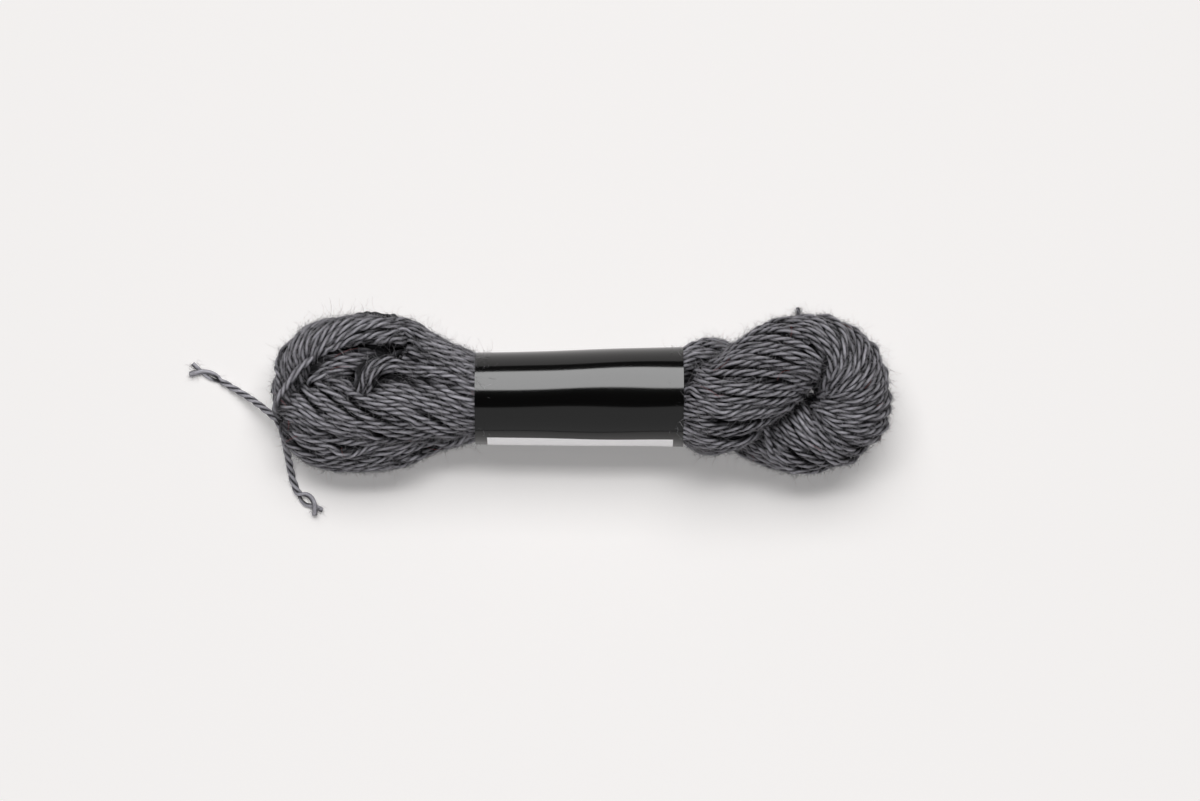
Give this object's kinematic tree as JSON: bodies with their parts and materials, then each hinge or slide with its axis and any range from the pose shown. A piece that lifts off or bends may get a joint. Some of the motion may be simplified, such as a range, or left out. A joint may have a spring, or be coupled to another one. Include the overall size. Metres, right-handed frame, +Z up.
{
  "type": "skein of embroidery floss",
  "caption": "Twisted skein of dark grey plied embroidery thread, folded back on itself, held at its waist by a plain black paper band and tied at one end.",
  "frame": {"origin": "on the surface that the skein lies on, below the middle of the hank and its band", "axes": "+X along the skein towards its folded end, +Y away from the viewer of its front edge, +Z up"},
  "size_m": [0.1307, 0.0382, 0.0227],
  "materials": {
    "thread": "plied silk thread with a soft sheen and a fine halo of fibres",
    "paper": "coated paper printed black, glossy",
    "tie_thread": "the same plied silk thread, its ends cut and opened"
  },
  "bodies": {
    "root": {"hank": "thread", "band": "paper", "tie": "tie_thread"}
  },
  "joints": []
}
